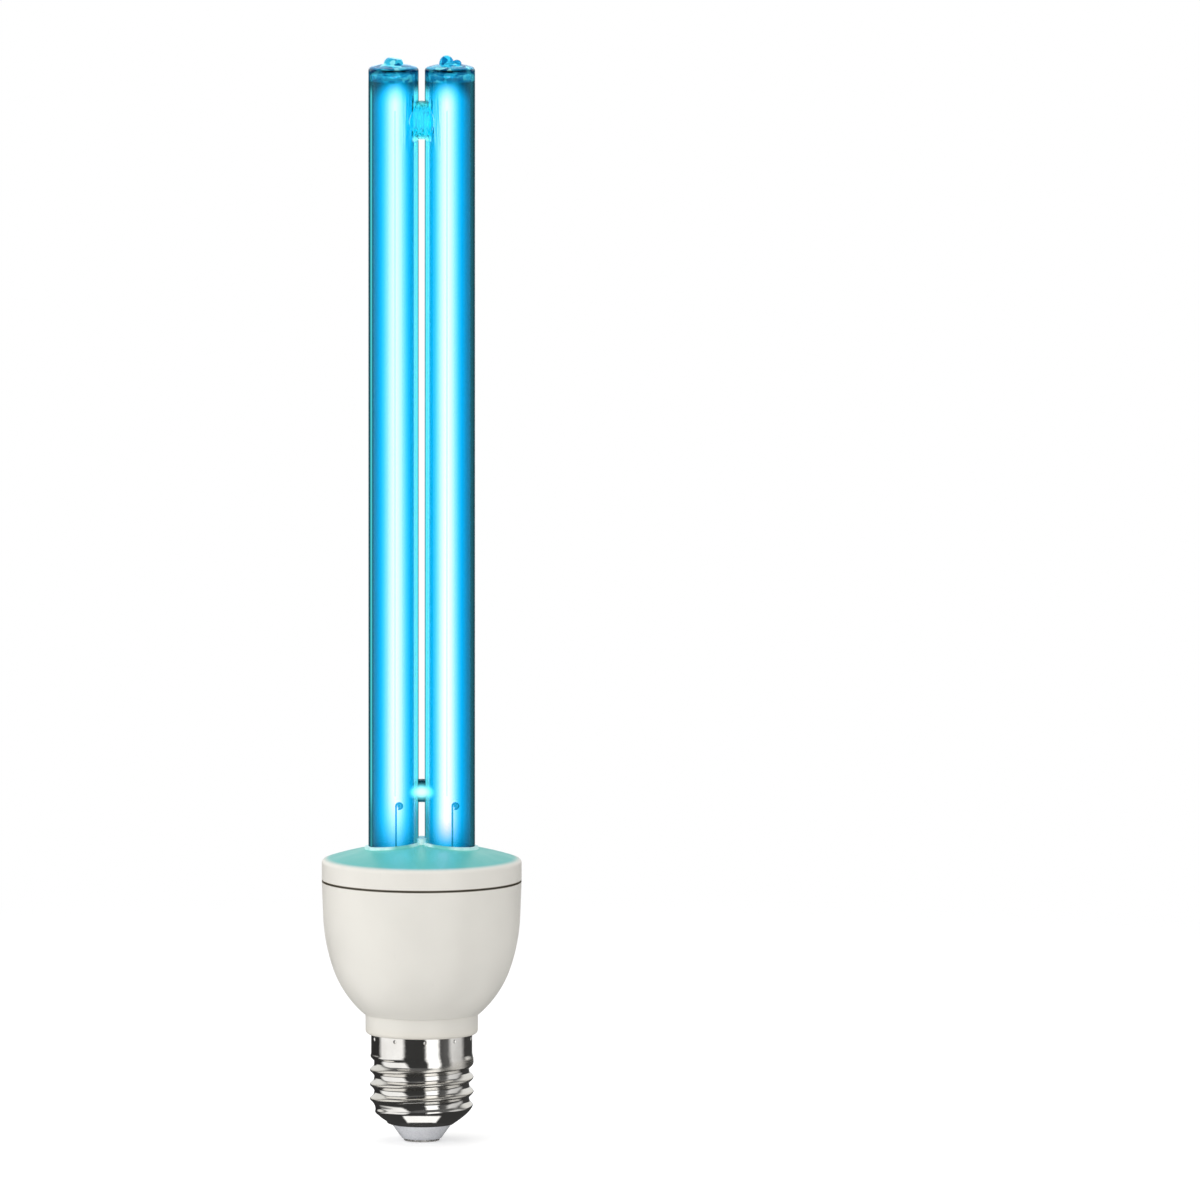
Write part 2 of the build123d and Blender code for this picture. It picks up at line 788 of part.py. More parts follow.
lead_names = ("lead_left_front", "lead_left_back", "lead_right_front", "lead_right_back")
pieces = {
    "centre_contact": make_centre_contact(),
    "base_insulator": make_base_insulator(),
    "screw_shell": make_screw_shell(),
    "ballast_housing": make_housing(),
    "top_cover": make_top_cover(),
    "tube_cement": make_cement(),
    "quartz_tube": make_quartz_tube(),
    "filament_left": make_filament(-1),
    "filament_right": make_filament(1),
    "wire_posts": make_posts(),
    "circuit_board": make_board(),
    "choke_core": make_choke_core(),
    "choke_bobbin": make_choke_bobbin(),
    "choke_winding": make_choke_winding(),
    "electrolytic_capacitor": make_electrolytic(),
    "driver_toroid": make_toroid(),
    "toroid_windings": make_toroid_windings(),
    "transistor_front": make_transistor(-1),
    "transistor_back": make_transistor(1),
    "resonant_capacitor": make_block(resonant_size, places["resonant"]),
    "blocking_capacitor": make_block(blocking_size, places["blocking"]),
    "bridge_rectifier": make_block(rectifier_size, places["rectifier"]),
    "filter_inductor": make_inductor(),
    "fusible_resistor": make_resistor(),
    "thermistor": make_thermistor(),
    "contact_wire": make_contact_wire(),
    "shell_wire": make_shell_wire(),
}
for name, place in zip(lead_names, lead_places()):
    pieces[name] = make_lead(*place)

for name, piece in pieces.items():
    export_step(piece, f"parts/{name}.step")
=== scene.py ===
"""Dresses the germicidal lamp: quartz, the discharge's glow, plastics, plating and the studio."""

import math

import bmesh
import bpy
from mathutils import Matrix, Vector


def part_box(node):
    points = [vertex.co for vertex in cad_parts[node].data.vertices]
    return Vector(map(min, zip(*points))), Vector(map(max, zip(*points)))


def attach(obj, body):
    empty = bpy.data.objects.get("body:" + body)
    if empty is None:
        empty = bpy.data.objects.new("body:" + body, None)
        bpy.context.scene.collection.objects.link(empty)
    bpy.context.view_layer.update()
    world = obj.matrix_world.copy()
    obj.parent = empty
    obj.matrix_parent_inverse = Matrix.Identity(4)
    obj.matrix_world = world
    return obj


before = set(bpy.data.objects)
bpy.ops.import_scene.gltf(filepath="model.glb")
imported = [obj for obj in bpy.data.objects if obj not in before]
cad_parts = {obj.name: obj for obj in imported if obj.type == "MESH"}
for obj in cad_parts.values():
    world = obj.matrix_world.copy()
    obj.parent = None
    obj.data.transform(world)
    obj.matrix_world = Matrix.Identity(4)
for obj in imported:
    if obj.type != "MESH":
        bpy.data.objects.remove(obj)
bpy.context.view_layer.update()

MM = 0.001
BLACK = (0.0, 0.0, 0.0)
WHITE = (1.0, 1.0, 1.0)
scene = bpy.context.scene

# Sizes read from the frame
quartz_low, quartz_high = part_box("quartz_tube")
cover_low, cover_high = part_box("top_cover")
shell_low, shell_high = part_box("screw_shell")
housing_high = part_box("ballast_housing")[1]
filament_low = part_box("filament_left")[0]

TUBE_WALL = 1.0 * MM
BRIDGE_DEPTH = 16.4 * MM
BEAD_RISE = 4.0 * MM

tube_radius = (quartz_high.y - quartz_low.y) / 2
leg_x = (quartz_high.x - quartz_low.x) / 2 - tube_radius
bore_radius = tube_radius - TUBE_WALL
top_z = quartz_high.z
dome_top_z = cover_high.z
crest_radius = (shell_high.x - shell_low.x) / 2
rim_radius = (cover_high.x - cover_low.x) / 2
bridge_z = top_z - BRIDGE_DEPTH
bead_z = filament_low.z + BEAD_RISE


# Node helpers


class Tree:
    """Node tree of a material or the world, with its coordinates and short ways to add nodes."""

    def __init__(self, owner, space="Object"):
        owner.use_nodes = True
        self.owner = owner
        self.nodes = owner.node_tree.nodes
        self.links = owner.node_tree.links
        self.nodes.clear()
        self.coords = self.add("ShaderNodeTexCoord").outputs[space]
        split = self.add("ShaderNodeSeparateXYZ", {"Vector": self.coords})
        self.x, self.y, self.z = split.outputs

    def feed(self, socket, value):
        """Links a node's output to the socket, or sets the socket's own value."""
        if isinstance(value, bpy.types.NodeSocket):
            self.links.new(value, socket)
        elif socket.type == "RGBA":
            socket.default_value = (*value, 1)
        else:
            socket.default_value = value

    def add(self, kind, inputs=None, **settings):
        """New node; each input is a value or another node's output."""
        node = self.nodes.new(kind)
        for key, value in settings.items():
            setattr(node, key, value)
        for key, value in (inputs or {}).items():
            self.feed(node.inputs[key], value)
        return node

    def math(self, operation, *values):
        node = self.add("ShaderNodeMath", operation=operation)
        for socket, value in zip(node.inputs, values):
            self.feed(socket, value)
        return node.outputs[0]

    def product(self, first, *others):
        for value in others:
            first = self.math("MULTIPLY", first, value)
        return first

    def distance(self, x, y):
        """Length of the vector (x, y)."""
        return self.math("SQRT", self.math("ADD", self.product(x, x), self.product(y, y)))

    def map_range(self, value, start, end, low=0.0, high=1.0, smooth=True):
        """Carries start to low and end to high, and holds the value beyond them."""
        ends = {"From Min": start, "From Max": end, "To Min": low, "To Max": high}
        node = self.add("ShaderNodeMapRange", {"Value": value, **ends})
        if smooth:
            node.interpolation_type = "SMOOTHSTEP"
        return node.outputs["Result"]

    def band(self, value, start, full_start, full_end, end):
        """One from full_start to full_end, nothing outside start and end."""
        rise = self.map_range(value, start, full_start)
        return self.product(rise, self.map_range(value, end, full_end))

    def ramp(self, factor, stops):
        """Colour of a ramp with the given (place, grey or colour) stops."""
        node = self.add("ShaderNodeValToRGB", {"Fac": factor})
        elements = node.color_ramp.elements
        while len(elements) < len(stops):
            elements.new(0.5)
        for element, (place, colour) in zip(elements, stops):
            element.position = place
            if isinstance(colour, (int, float)):
                colour = (colour, colour, colour)
            element.color = (*colour, 1)
        return node.outputs["Color"]

    def mix(self, factor, first, second):
        """Colour between the first and the second."""
        node = self.add("ShaderNodeMix", data_type="RGBA")
        sockets = (node.inputs["Factor"], node.inputs[6], node.inputs[7])
        for socket, value in zip(sockets, (factor, first, second)):
            self.feed(socket, value)
        return node.outputs[2]

    def noise(self, scale, detail=3.0, stretch=None):
        """Noise of scale cells per metre; stretch multiplies that along X, Y and Z."""
        coords = self.coords
        if stretch:
            coords = self.add("ShaderNodeMapping", {"Vector": coords, "Scale": stretch}).outputs[0]
        inputs = {"Vector": coords, "Scale": scale, "Detail": detail}
        return self.add("ShaderNodeTexNoise", inputs).outputs["Fac"]

    def bumps(self, *layers):
        """Chain of bump nodes; each layer is (height, strength, distance in mm)."""
        inputs = {}
        for height, strength, distance in layers:
            inputs.update({"Height": height, "Strength": strength, "Distance": distance * MM})
            inputs["Normal"] = self.add("ShaderNodeBump", inputs).outputs["Normal"]
        return inputs["Normal"]

    def principled(self, tint, rough, normal, **more):
        """Principled shader; underscores in the names of more stand for spaces."""
        inputs = {key.replace("_", " "): value for key, value in more.items()}
        inputs.update({"Base Color": tint, "Roughness": rough, "Normal": normal})
        return self.add("ShaderNodeBsdfPrincipled", inputs)

    def join(self, kind, first, second, factor=None):
        """Add or mix shader of two others."""
        node = self.add(kind) if factor is None else self.add(kind, {0: factor})
        for socket, shader in zip(list(node.inputs)[-2:], (first, second)):
            self.links.new(shader.outputs[0], socket)
        return node

    def close(self, surface=None, volume=None, kind="ShaderNodeOutputMaterial"):
        """Adds the output and returns what the tree belongs to."""
        out = self.add(kind)
        for name, shader in (("Surface", surface), ("Volume", volume)):
            if shader:
                self.links.new(shader.outputs[0], out.inputs[name])
        return self.owner


def new_tree(name):
    return Tree(bpy.data.materials.new(name))


def shade(colour, share):
    return tuple(c * share for c in colour)


def dress(material, *names):
    """Gives CAD nodes their material."""
    for name in names:
        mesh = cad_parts[name].data
        mesh.materials.clear()
        mesh.materials.append(material)


# Stage: camera, world, floor and lights

# The camera, set by the photo's width and by where it shows the lamp's axis and foot
PHOTO_PX = 1200
MM_PER_PX = 0.252
AXIS_PX = 421.7
MIDDLE_PX = 600
BASE_PX = 1141
ELEVATION = math.radians(6.6)
CAMERA_DISTANCE = 12.0
SENSOR = 36
CLIP = (0.5, 60)

# Brightness of the studio by the angle from the camera's side, to the right
STRIPS = (
    (-180, 0.9),
    (-168, 0.5),
    (-158, 0.03),
    (-112, 0.03),
    (-100, 1.0),
    (-44, 1.1),
    (-36, 0.04),
    (6, 0.04),
    (12, 1.4),
    (35, 1.4),
    (42, 0.08),
    (60, 0.12),
    (70, 0.75),
    (98, 0.6),
    (112, 0.05),
    (155, 0.05),
    (168, 0.5),
    (180, 0.9),
)
OUTSIDE_STRIPS = (0.12, 0.12, 0.12)
BACKDROP = (0.80, 0.80, 0.78)

# The floor: its shading fades out between two radii, and metal sees in it a painted reflection of a
# bright sheet in front, with painted shade under the lip and the nose
FLOOR_HALF = 4.0
FLOOR_FADE = (0.12, 0.5)
PAPER = (0.80, 0.80, 0.80)
SHEET_HALF_ANGLE = (0.62, 0.74)
SHEET_END = (11.6 * MM, 13.0 * MM)
SHEET_DARK, SHEET_BRIGHT = 0.04, 1.2
SHEET_TO_STRIPS = (22 * MM, 45 * MM)
UNDER_LIP = (7.6 * MM, 7.9 * MM)
UNDER_LIP_PAINTED_SHADE = (0.05, 0.05, 0.05)
UNDER_NOSE = (5.0 * MM, 5.6 * MM)
UNDER_NOSE_PAINTED_SHADE = (0.5, 0.5, 0.5)


def make_camera():
    data = bpy.data.cameras.new("camera")
    camera = bpy.data.objects.new("camera", data)
    scene.collection.objects.link(camera)
    data.sensor_width = SENSOR
    data.lens = SENSOR * CAMERA_DISTANCE / (PHOTO_PX * MM_PER_PX * MM)
    data.clip_start, data.clip_end = CLIP
    data.shift_x = (MIDDLE_PX - AXIS_PX) / PHOTO_PX
    rise_per_px = MM_PER_PX / math.cos(ELEVATION)
    target = Vector((0, 0, (BASE_PX - MIDDLE_PX) * rise_per_px * MM))
    back = Vector((0, -math.cos(ELEVATION), math.sin(ELEVATION)))
    camera.location = target + back * CAMERA_DISTANCE
    camera.rotation_mode = "QUATERNION"
    camera.rotation_quaternion = (-back).to_track_quat("-Z", "Y")
    scene.camera = camera


def studio_strips(tree):
    """Brightness of the studio's cards in the direction away from the lamp."""
    turn = tree.math("ARCTAN2", tree.x, tree.product(tree.y, -1.0))
    share = tree.math("MULTIPLY_ADD", turn, 1 / (2 * math.pi), 0.5)
    return tree.ramp(share, [((degrees + 180) / 360, value) for degrees, value in STRIPS])


def seen_directly(tree, path):
    """One for rays from the camera, also through glass."""
    outputs = path.outputs
    return tree.math("MAXIMUM", outputs["Is Camera Ray"], outputs["Is Transmission Ray"])


def make_world():
    """White where the camera or glass sees it, soft strips where metal mirrors it."""
    scene.world = bpy.data.worlds.new("studio")
    tree = Tree(scene.world, "Generated")
    level = tree.map_range(tree.z, -0.2, 1.0, 0.92, 1.06)
    ambient = tree.add("ShaderNodeBackground", {"Strength": level})

    window = tree.band(tree.z, -0.35, -0.2, 0.5, 0.75)
    cards = tree.mix(window, OUTSIDE_STRIPS, studio_strips(tree))
    behind = tree.map_range(tree.y, 0.25, 0.60)
    backdrop = tree.product(behind, tree.map_range(tree.z, -0.02, 0.10))
    cards = tree.mix(backdrop, cards, BACKDROP)
    mirrored = tree.add("ShaderNodeBackground", {"Color": cards, "Strength": 1.0})

    white = tree.add("ShaderNodeBackground", {"Color": WHITE, "Strength": 1.0})
    path = tree.add("ShaderNodeLightPath")
    kind = "ShaderNodeMixShader"
    unseen = tree.join(kind, ambient, mirrored, path.outputs["Is Glossy Ray"])
    both = tree.join(kind, unseen, white, seen_directly(tree, path))
    tree.close(both, kind="ShaderNodeOutputWorld")


def make_area(name, place, target, size, power):
    data = bpy.data.lights.new(name, "AREA")
    data.shape = "RECTANGLE"
    data.size, data.size_y = size
    data.energy = power
    light = bpy.data.objects.new(name, data)
    scene.collection.objects.link(light)
    light.location = place
    light.rotation_mode = "QUATERNION"
    light.rotation_quaternion = (Vector(target) - Vector(place)).to_track_quat("-Z", "Y")
    light.visible_glossy = False


def painted_floor_reflection(tree, radius):
    """Painted reflection that metal sees in the floor: a bright sheet in front of the lamp, painted
    shade under its lip and nose, then the strips.
    """
    slope = tree.math("DIVIDE", tree.math("ABSOLUTE", tree.x), radius)
    full, none = SHEET_HALF_ANGLE
    front = tree.map_range(tree.math("ARCSINE", slope), none, full)
    near_half = tree.map_range(tree.y, 2 * MM, -2 * MM)
    front = tree.product(front, near_half, tree.map_range(radius, *reversed(SHEET_END)))
    sheet = tree.map_range(front, 0.0, 1.0, SHEET_DARK, SHEET_BRIGHT, smooth=False)
    # painted shade in the reflection: dark under the lip, grey under the nose
    sheet = tree.mix(tree.map_range(radius, *reversed(UNDER_LIP)), sheet, UNDER_LIP_PAINTED_SHADE)
    sheet = tree.mix(tree.map_range(radius, *reversed(UNDER_NOSE)), sheet, UNDER_NOSE_PAINTED_SHADE)
    return tree.mix(tree.map_range(radius, *SHEET_TO_STRIPS), sheet, studio_strips(tree))


def make_floor():
    """White paper that keeps the lamp's shadow; to metal it shows a painted reflection of a sheet
    and the studio's cards.
    """
    mesh = bpy.data.meshes.new("floor")
    signs = ((-1, -1), (1, -1), (1, 1), (-1, 1))
    corners = [(FLOOR_HALF * across, FLOOR_HALF * along, 0) for across, along in signs]
    mesh.from_pydata(corners, [], [(0, 1, 2, 3)])
    floor = bpy.data.objects.new("floor", mesh)
    scene.collection.objects.link(floor)

    tree = new_tree("floor_paper")
    radius = tree.distance(tree.x, tree.y)
    far = tree.map_range(radius, *FLOOR_FADE)
    paper = tree.add("ShaderNodeBsdfDiffuse", {"Color": tree.mix(far, PAPER, BLACK)})
    path = tree.add("ShaderNodeLightPath")
    bounced = tree.map_range(far, 0.0, 1.0, 0.0, 0.90, smooth=False)
    more = tree.map_range(far, 0.0, 1.0, 0.40, 0.10, smooth=False)
    level = tree.math("MULTIPLY_ADD", more, seen_directly(tree, path), bounced)
    glow = tree.add("ShaderNodeEmission", {"Color": WHITE, "Strength": level})
    plain = tree.join("ShaderNodeAddShader", paper, glow)
    # painted reflection, seen only by glossy rays that don't come through glass
    mirrored = tree.add("ShaderNodeEmission", {"Color": painted_floor_reflection(tree, radius)})
    not_glass = tree.math("SUBTRACT", 1.0, path.outputs["Is Transmission Ray"])
    by_metal = tree.product(path.outputs["Is Glossy Ray"], not_glass)
    mesh.materials.append(tree.close(tree.join("ShaderNodeMixShader", plain, mirrored, by_metal)))


# Plastics

IVORY = (0.80, 0.776, 0.715)
AGED_IVORY = tuple(c * s for c, s in zip(IVORY, (0.97, 0.93, 0.86)))
# Painted shade: dark bands on both sides of the seam stand in for the shadow in the gap between
# housing and cover
SEAM_PAINTED_SHADE = (0.16, 0.14, 0.10)
HOUSING_SEAM_PAINTED_SHADE = (housing_high.z - 0.22 * MM, housing_high.z - 0.08 * MM)
COVER_SEAM_PAINTED_SHADE = (housing_high.z + 0.55 * MM, housing_high.z + 0.40 * MM)
COLLAR_RISE = 3 * MM
PARTING_HALF = 0.12 * MM
# Painted light: the dome's turquoise tint and its glow stand in for the tubes' light falling on the
# cover
DOME_PAINTED_SPILL_FAR = (0.11, 0.42, 0.39)
DOME_PAINTED_SPILL_NEAR = (0.15, 0.55, 0.49)
DOME_PAINTED_GLOW = (0.0, 0.10, 0.10)
CEMENT = (0.84, 0.86, 0.84)
# Painted light: the cement's teal between the legs and its glow stand in for the tubes' light
CEMENT_INNER_PAINTED_SPILL = (0.17, 0.54, 0.50)
CEMENT_PAINTED_GLOW = (0.05, 0.16, 0.16)
PAINTED_SPILL_STRENGTH = 0.8


def moulded(tree):
    """Tint, roughness and bump layers of satin moulded plastic with faint handling marks."""
    broad = tree.noise(45.0)
    grain = tree.noise(2400.0, 2.0)
    smudge = tree.noise(160.0, 5.0, (1.0, 1.0, 0.45))
    scuffs = tree.noise(900.0, 2.0, (1.0, 1.0, 0.08))
    tint = tree.mix(tree.map_range(broad, 0.35, 0.65), shade(IVORY, 0.96), IVORY)
    marks = tree.map_range(scuffs, 0.66, 0.74)
    worn = tree.product(marks, tree.map_range(smudge, 0.5, 0.7, 0.0, 0.22))
    tint = tree.mix(worn, tint, shade(IVORY, 0.86))
    rough = tree.map_range(smudge, 0.3, 0.7, 0.30, 0.44, smooth=False)
    return tint, rough, [(grain, 0.10, 0.04), (broad, 0.05, 0.3)]


def housing_material():
    """Warm white plastic: mould texture, a parting line each side, a warmer collar and painted
    shade along the seam under the cover.
    """
    tree = new_tree("housing_plastic")
    tint, rough, layers = moulded(tree)
    # painted shade along the housing's top edge, under the cover
    tint = tree.mix(tree.map_range(tree.z, *HOUSING_SEAM_PAINTED_SHADE), tint, SEAM_PAINTED_SHADE)
    aged = tree.map_range(tree.z, shell_high.z + COLLAR_RISE, shell_high.z, 0.0, 0.35)
    tint = tree.mix(aged, tint, AGED_IVORY)
    parting = tree.map_range(tree.math("ABSOLUTE", tree.y), PARTING_HALF, 0.0)
    normal = tree.bumps(*layers, (parting, 0.35, 0.05))
    return tree.close(tree.principled(tint, rough, normal, IOR=1.5))


def cover_material():
    """The same plastic; its dome is painted turquoise, brighter nearer the tubes, and given a
    painted glow, for the tubes' light falling on it; painted shade lies along its seam over the
    housing.
    """
    tree = new_tree("cover_plastic")
    tint, rough, layers = moulded(tree)
    radius = tree.distance(tree.x, tree.y)
    inner = tree.map_range(radius, rim_radius - 0.1 * MM, rim_radius - 2.2 * MM)
    above = tree.map_range(tree.z, dome_top_z - 9.0 * MM, dome_top_z - 6.0 * MM)
    lit = tree.product(inner, above)
    near = tree.map_range(radius, rim_radius, 0.35 * rim_radius)
    # painted spill: turquoise on the dome, brighter nearer the tubes
    tint = tree.mix(lit, tint, tree.mix(near, DOME_PAINTED_SPILL_FAR, DOME_PAINTED_SPILL_NEAR))
    # painted shade along the cover's lower edge, over the housing
    tint = tree.mix(tree.map_range(tree.z, *COVER_SEAM_PAINTED_SHADE), tint, SEAM_PAINTED_SHADE)
    # painted glow of the spill on the dome
    glow = {
        "Emission_Color": tree.mix(lit, BLACK, DOME_PAINTED_GLOW),
        "Emission_Strength": PAINTED_SPILL_STRENGTH,
    }
    return tree.close(tree.principled(tint, rough, tree.bumps(*layers), IOR=1.5, **glow))


def cement_material():
    """Chalky white cement, painted cyan and given a painted glow where the tubes light it."""
    tree = new_tree("cement")
    lumps = tree.noise(700.0, 5.0)
    pores = tree.noise(3200.0)
    # painted spill: cyan tones where the cement shows above the cover
    stops = [(0.3, (0.50, 0.74, 0.72)), (0.55, (0.68, 0.86, 0.84)), (0.8, (0.80, 0.90, 0.88))]
    outside = tree.map_range(tree.z, dome_top_z - 3.0 * MM, dome_top_z - 1.0 * MM)
    tint = tree.mix(outside, CEMENT, tree.ramp(lumps, stops))
    # painted spill: deeper teal between the legs
    across = tree.math("ABSOLUTE", tree.x)
    inner = tree.band(across, 2.0 * MM, 3.5 * MM, leg_x - 1.0 * MM, leg_x + 1.5 * MM)
    tint = tree.mix(tree.product(inner, outside), tint, CEMENT_INNER_PAINTED_SPILL)
    normal = tree.bumps((lumps, 0.5, 0.15), (pores, 0.3, 0.05))
    # painted glow of the spill on the cement
    glow = {
        "Emission_Color": tree.mix(outside, BLACK, CEMENT_PAINTED_GLOW),
        "Emission_Strength": PAINTED_SPILL_STRENGTH,
    }
    return tree.close(tree.principled(tint, 0.85, normal, IOR=1.45, **glow))


def insulator_material():
    """Pale grey glaze, slightly mottled, darker towards the bottom of the nose."""
    tree = new_tree("insulator_glaze")
    mottle = tree.noise(500.0, 4.0)
    pits = tree.noise(2500.0, 2.0)
    tint = tree.ramp(mottle, [(0.3, (0.79, 0.80, 0.84)), (0.7, (0.86, 0.87, 0.90))])
    # darker towards the bottom of the nose
    darker_low = tree.map_range(tree.z, 1.6 * MM, 0.7 * MM, 0.0, 0.3)
    tint = tree.mix(darker_low, tint, (0.50, 0.52, 0.58))
    rough = tree.map_range(pits, 0.3, 0.7, 0.22, 0.34)
    normal = tree.bumps((mottle, 0.12, 0.1), (pits, 0.08, 0.03))
    coat = {"Coat_Weight": 0.4, "Coat_Roughness": 0.12}
    return tree.close(tree.principled(tint, rough, normal, IOR=1.55, **coat))


# Metals

ALONG = (1.0, 1.0, 0.1)


def metal_material(name, colour, low, high, stretch=(1.0, 1.0, 1.0), scale=900.0):
    """Metal with fine streaks in its roughness, which runs from low to high, and in its tone."""
    tree = new_tree(name)
    streaks = tree.noise(scale, 4.0, stretch)
    stains = tree.noise(220.0, 4.0)
    tint = tree.ramp(streaks, [(0.3, shade(colour, 0.90)), (0.7, colour)])
    tint = tree.mix(tree.map_range(stains, 0.55, 0.75, 0.0, 0.3), tint, shade(colour, 0.8))
    rough = tree.map_range(streaks, 0.3, 0.7, low, high)
    return tree.close(tree.principled(tint, rough, tree.bumps((streaks, 0.05, 0.05)), Metallic=1.0))


def shell_material():
    """Bright nickel over rolled sheet: rolling lines, faint waviness, rubbed crests."""
    tree = new_tree("shell_plating")
    lines = tree.noise(1.0, 3.0, (140.0, 140.0, 9000.0))
    waves = tree.noise(420.0, 2.0)
    grit = tree.noise(2600.0, 2.0)
    stains = tree.noise(260.0, 5.0)
    radius = tree.distance(tree.x, tree.y)
    crest = tree.map_range(radius, crest_radius - 0.35 * MM, crest_radius - 0.05 * MM)
    threaded = tree.map_range(tree.z, shell_high.z - 5.2 * MM, shell_high.z - 6.5 * MM)
    rubbed = tree.product(crest, threaded, stains)
    tint = tree.ramp(stains, [(0.35, (0.80, 0.78, 0.745)), (0.7, (0.88, 0.865, 0.83))])
    tint = tree.mix(rubbed, tint, (0.70, 0.66, 0.58))
    clean = tree.map_range(lines, 0.35, 0.7, 0.05, 0.13)
    rough = tree.math("MULTIPLY_ADD", rubbed, 0.35, clean)
    normal = tree.bumps((waves, 0.10, 0.10), (grit, 0.06, 0.02), (lines, 0.04, 0.01))
    return tree.close(tree.principled(tint, rough, normal, Metallic=1.0))


# Quartz and the discharge's light painted on it as emission; the wall and edge bands are places
# across a leg from its axis

QUARTZ_DEPTH = {"Color": (0.024, 0.524, 0.598), "Density": 1640.0}
QUARTZ_SHEEN = (0.10, 0.75, 1.0)
FACET_WANDER = (2.2 * MM, 2.2 * MM, 1.1 * MM)
# painted glints in the facets of the worked ends
FACET_TONES = [
    (0.0, (0.0, 0.09, 0.26)),
    (0.45, (0.01, 0.30, 0.56)),
    (0.8, (0.05, 0.60, 0.82)),
    (1.0, (0.30, 0.90, 0.95)),
]
# painted light in the strips beside the gap and in the line at the left edge
WALL_LIGHT = (0.10, 0.62, 0.68)
WALL_BAND = (-6.25 * MM, -5.95 * MM, -5.35 * MM, -5.05 * MM)
EDGE_LIGHT = (0.06, 0.50, 0.50)
EDGE_BAND = (-5.90 * MM, -5.70 * MM, -5.50 * MM, -5.30 * MM)
BRIDGE_HALF = 4.9 * MM
# Painted glow on the bridge by height across it, with painted highlights near both edges
BRIDGE_PAINTED_GLOW_TONES = [
    (0.0, (0.30, 0.85, 0.88)),
    (0.07, (0.12, 0.60, 0.64)),
    (0.15, (0.0, 0.25, 0.34)),
    (0.85, (0.0, 0.22, 0.31)),
    (0.93, (0.05, 0.45, 0.45)),
    (1.0, (0.0, 0.12, 0.10)),
]
# Painted glow at the bead, a solid glass rod that only carries the tubes' light
BEAD_PAINTED_HALO = (0.20, 0.85, 0.92)
BEAD_PAINTED_WHITE = (0.80, 1.05, 1.05)
BEAD_HALF = (2.9 * MM, 2.0 * MM)


def facet_light(tree, aside):
    """Painted light in the facets of the tubes' worked ends and of the blobs on them."""
    wander = tree.add("ShaderNodeTexNoise", {"Vector": tree.coords, "Scale": 500.0, "Detail": 2.0})
    inputs = {0: wander.outputs["Color"], 1: FACET_WANDER, 2: tree.coords}
    bent = tree.add("ShaderNodeVectorMath", inputs, operation="MULTIPLY_ADD")
    facets = tree.add("ShaderNodeTexVoronoi", {"Vector": bent.outputs[0], "Scale": 620.0})
    split = tree.add("ShaderNodeSeparateColor", {0: facets.outputs["Color"]})
    from_axis = tree.distance(aside, tree.y)
    within = tree.map_range(from_axis, tube_radius - 0.1 * MM, tube_radius - 0.5 * MM)
    end = tree.map_range(tree.z, top_z - 6.6 * MM, top_z - 6.1 * MM)
    blob = tree.map_range(tree.z, top_z - 2.9 * MM, top_z - 1.6 * MM, 0.80, 1.0)
    facet_tint = tree.ramp(split.outputs[0], FACET_TONES)
    return tree.mix(tree.product(end, within, blob), BLACK, facet_tint)


def wall_light(tree, light, aside, away):
    """Adds painted light: the strips beside the gap, dimmed at the bridge, and the line at the left
    edge.
    """
    below_end = tree.map_range(tree.z, top_z - 7.0 * MM, top_z - 10.0 * MM)
    foot = tree.map_range(tree.z, dome_top_z + 6.0 * MM, dome_top_z + 15.0 * MM, 0.35, 1.0)
    run = tree.product(below_end, foot)
    off_bridge = tree.map_range(away, 4.4 * MM, 5.6 * MM, 0.1, 1.0)
    strip = tree.product(tree.band(aside, *WALL_BAND), run, off_bridge)
    light = tree.mix(strip, light, WALL_LIGHT)
    line = tree.band(tree.x, *(place - leg_x for place in EDGE_BAND))
    return tree.mix(tree.product(line, run), light, EDGE_LIGHT)


def bridge_light(tree, light, height, away):
    """Adds the painted glow on the bridge, with painted highlights near its edges and its creases
    left dark.
    """
    across = tree.map_range(tree.math("ABSOLUTE", tree.x), 2.6 * MM, 2.0 * MM)
    joint = tree.product(across, tree.map_range(away, 5.3 * MM, 4.6 * MM))
    share = tree.map_range(height, -BRIDGE_HALF, BRIDGE_HALF, smooth=False)
    folds = tree.noise(1.0, 1.0, (1300.0, 700.0, 60.0))
    crease = tree.math("ABSOLUTE", tree.math("SUBTRACT", folds, 0.5))
    creased = tree.map_range(crease, 0.04, 0.015, 0.0, 0.9)
    # painted glow and highlights on the bridge, none in its creases
    return tree.mix(joint, light, tree.mix(creased, tree.ramp(share, BRIDGE_PAINTED_GLOW_TONES), BLACK))


def bead_light(tree, light):
    """Adds the painted white glow at the bead, with its painted halo."""
    half_width, half_height = BEAD_HALF
    along = tree.math("DIVIDE", tree.x, half_width)
    up = tree.math("DIVIDE", tree.math("SUBTRACT", tree.z, bead_z), half_height)
    halo = tree.distance(along, up)
    # painted halo and white glow at the bead
    light = tree.mix(tree.map_range(halo, 1.25, 0.45), light, BEAD_PAINTED_HALO)
    return tree.mix(tree.map_range(halo, 0.85, 0.15), light, BEAD_PAINTED_WHITE)


def caught_light(tree):
    """The discharge's light where the quartz gathers it, painted on the quartz as emission."""
    aside = tree.math("SUBTRACT", tree.math("ABSOLUTE", tree.x), leg_x)
    height = tree.math("SUBTRACT", tree.z, bridge_z)
    away = tree.math("ABSOLUTE", height)
    light = facet_light(tree, aside)
    light = wall_light(tree, light, aside, away)
    light = bridge_light(tree, light, height, away)
    return bead_light(tree, light)


